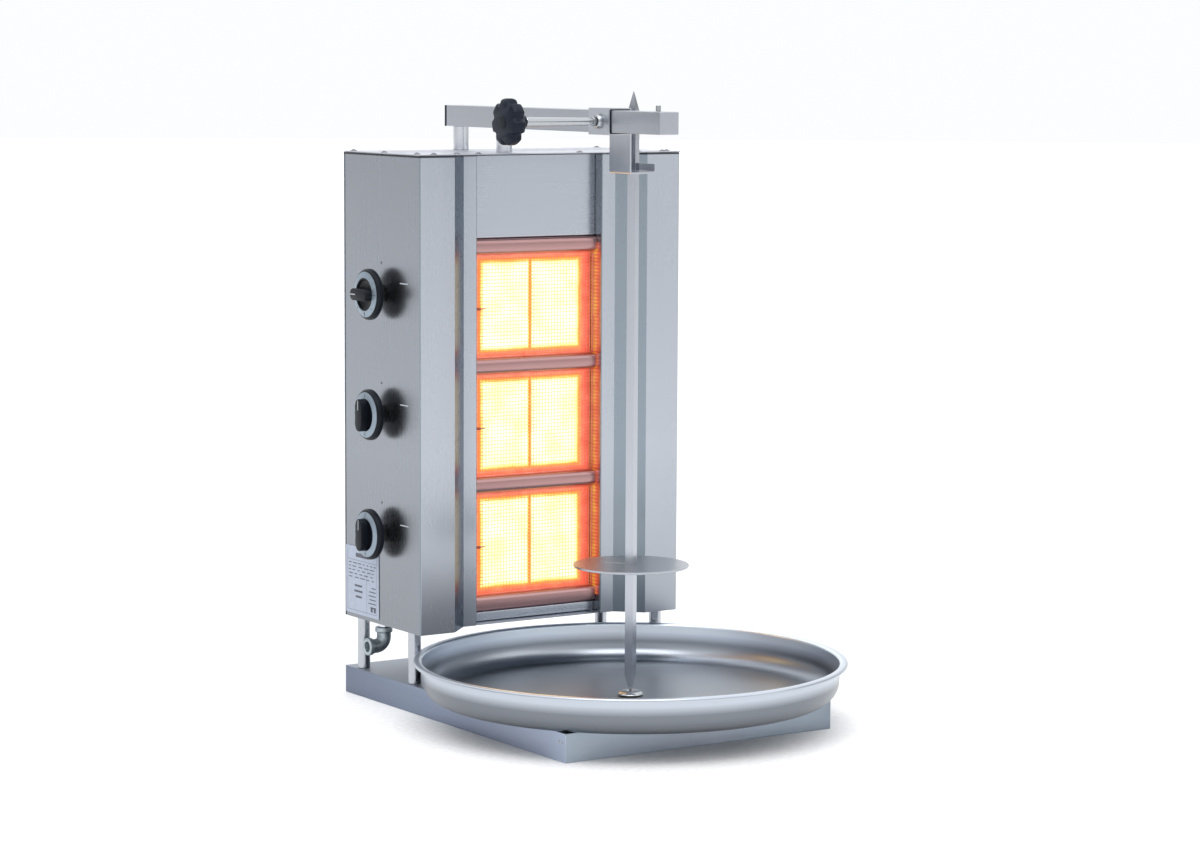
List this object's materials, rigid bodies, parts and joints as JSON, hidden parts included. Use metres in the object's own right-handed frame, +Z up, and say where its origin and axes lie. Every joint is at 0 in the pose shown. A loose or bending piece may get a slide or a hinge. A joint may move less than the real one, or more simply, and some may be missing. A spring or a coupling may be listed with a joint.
{
  "type": "vertical rotisserie broiler",
  "caption": "Free-standing gas broiler: stacked infrared burners in a steel tower face a vertical spit over a round drip pan, under an arm with a clamped guide.",
  "frame": {"origin": "on the ground under the middle of the object's footprint, a little behind the spit", "axes": "+Z up; -Y is the front, where the spit and the drip pan are; +X is to the right seen from the front, and the gas knobs are on -X"},
  "size_m": [0.6, 0.718, 0.872],
  "materials": {
    "stainless": "brushed stainless sheet, grain along the long side",
    "bright_steel": "smooth bright steel",
    "heated_steel": "stainless tinted by heat",
    "galvanised": "dull zinc-plated steel",
    "brass": "machined brass",
    "glowing_ceramic": "glowing perforated ceramic",
    "black_plastic": "black phenolic plastic, satin",
    "label": "printed aluminium foil plate with blank bars"
  },
  "bodies": {
    "casing": {"base_tray": "stainless", "left_side_panel": "stainless", "right_side_panel": "stainless", "back_panel": "stainless", "bottom_panel": "stainless", "top_lid": "stainless", "upper_front_panel": "stainless", "lower_front_panel": "stainless", "arm_tube": "stainless", "leg_post_back_left": "bright_steel", "leg_post_back_right": "bright_steel", "leg_post_front_left": "bright_steel", "leg_post_front_right": "bright_steel", "gas_inlet_pipe": "bright_steel", "arm_post_rear": "bright_steel", "arm_post_front": "bright_steel", "arm_stop_pin": "bright_steel", "cross_rail_1": "heated_steel", "cross_rail_2": "heated_steel", "cross_rail_3": "heated_steel", "cross_rail_4": "heated_steel", "guard_mesh_1": "heated_steel", "guard_mesh_2": "heated_steel", "guard_mesh_3": "heated_steel", "burner_housing_1": "galvanised", "burner_housing_2": "galvanised", "burner_housing_3": "galvanised", "heat_shield": "galvanised", "gas_manifold": "galvanised", "gas_inlet_elbow": "galvanised", "burner_feed_pipe_1": "galvanised", "burner_feed_pipe_2": "galvanised", "burner_feed_pipe_3": "galvanised", "gas_valve_1": "brass", "gas_valve_2": "brass", "gas_valve_3": "brass", "ceramic_plate_1_left": "glowing_ceramic", "ceramic_plate_1_right": "glowing_ceramic", "ceramic_plate_2_left": "glowing_ceramic", "ceramic_plate_2_right": "glowing_ceramic", "ceramic_plate_3_left": "glowing_ceramic", "ceramic_plate_3_right": "glowing_ceramic", "arm_end_cap": "black_plastic", "rating_plate": "label"},
    "pan": {"drip_pan": "stainless", "pan_bush": "brass"},
    "socket": {"spit_socket": "bright_steel"},
    "spit": {"spit": "bright_steel"},
    "disc": {"spit_disc": "bright_steel"},
    "carriage": {"carriage_bracket": "stainless", "sleeve_liner": "black_plastic", "clamp_boss": "bright_steel"},
    "clamp_screw": {"clamp_screw": "bright_steel"},
    "clamp_knob": {"clamp_knob": "black_plastic"},
    "valve_stem_1": {"valve_stem_1": "bright_steel"},
    "gas_knob_1": {"gas_knob_1": "black_plastic"},
    "valve_stem_2": {"valve_stem_2": "bright_steel"},
    "gas_knob_2": {"gas_knob_2": "black_plastic"},
    "valve_stem_3": {"valve_stem_3": "bright_steel"},
    "gas_knob_3": {"gas_knob_3": "black_plastic"}
  },
  "joints": [
    {"name": "pan_slide", "type": "slide", "parent": "casing", "child": "pan", "axis": [0, 1, 0], "range_m": [-0.08, 0.006]},
    {"name": "socket_spin", "type": "hinge", "parent": "pan", "child": "socket", "pos_m": [0, -0.059, 0.045], "axis": [0, 0, 1], "continuous": true},
    {"name": "spit_lift", "type": "slide", "parent": "socket", "child": "spit", "axis": [0, 0, 1], "range_m": [0, 0.06]},
    {"name": "disc_slide", "type": "slide", "parent": "spit", "child": "disc", "axis": [0, 0, 1], "range_m": [-0.165, 0.45]},
    {"name": "carriage_slide", "type": "slide", "parent": "casing", "child": "carriage", "axis": [0, 1, 0], "range_m": [-0.08, 0.006]},
    {"name": "clamp_travel", "type": "slide", "parent": "carriage", "child": "clamp_screw", "axis": [-1, 0, 0], "range_m": [0, 0.0025]},
    {"name": "clamp_turn", "type": "hinge", "parent": "clamp_screw", "child": "clamp_knob", "pos_m": [-0.19, -0.065, 0.832], "axis": [-1, 0, 0], "range_deg": [0, 720]},
    {"name": "knob_push_1", "type": "slide", "parent": "casing", "child": "valve_stem_1", "axis": [1, 0, 0], "range_m": [0, 0.003], "stiffness_N_per_m": 900, "springref_m": -0.002},
    {"name": "knob_turn_1", "type": "hinge", "parent": "valve_stem_1", "child": "gas_knob_1", "pos_m": [-0.235, 0.252, 0.585], "axis": [-1, 0, 0], "range_deg": [-90, 90]},
    {"name": "knob_push_2", "type": "slide", "parent": "casing", "child": "valve_stem_2", "axis": [1, 0, 0], "range_m": [0, 0.003], "stiffness_N_per_m": 900, "springref_m": -0.002},
    {"name": "knob_turn_2", "type": "hinge", "parent": "valve_stem_2", "child": "gas_knob_2", "pos_m": [-0.235, 0.252, 0.415], "axis": [-1, 0, 0], "range_deg": [0, 180]},
    {"name": "knob_push_3", "type": "slide", "parent": "casing", "child": "valve_stem_3", "axis": [1, 0, 0], "range_m": [0, 0.003], "stiffness_N_per_m": 900, "springref_m": -0.002},
    {"name": "knob_turn_3", "type": "hinge", "parent": "valve_stem_3", "child": "gas_knob_3", "pos_m": [-0.235, 0.252, 0.245], "axis": [-1, 0, 0], "range_deg": [0, 180]}
  ],
  "couplings": [
    {"joint": "carriage_slide", "follows": "pan_slide", "ratio": 1},
    {"joint": "clamp_travel", "follows": "clamp_turn", "m_per_rad": 0.00019894}
  ]
}
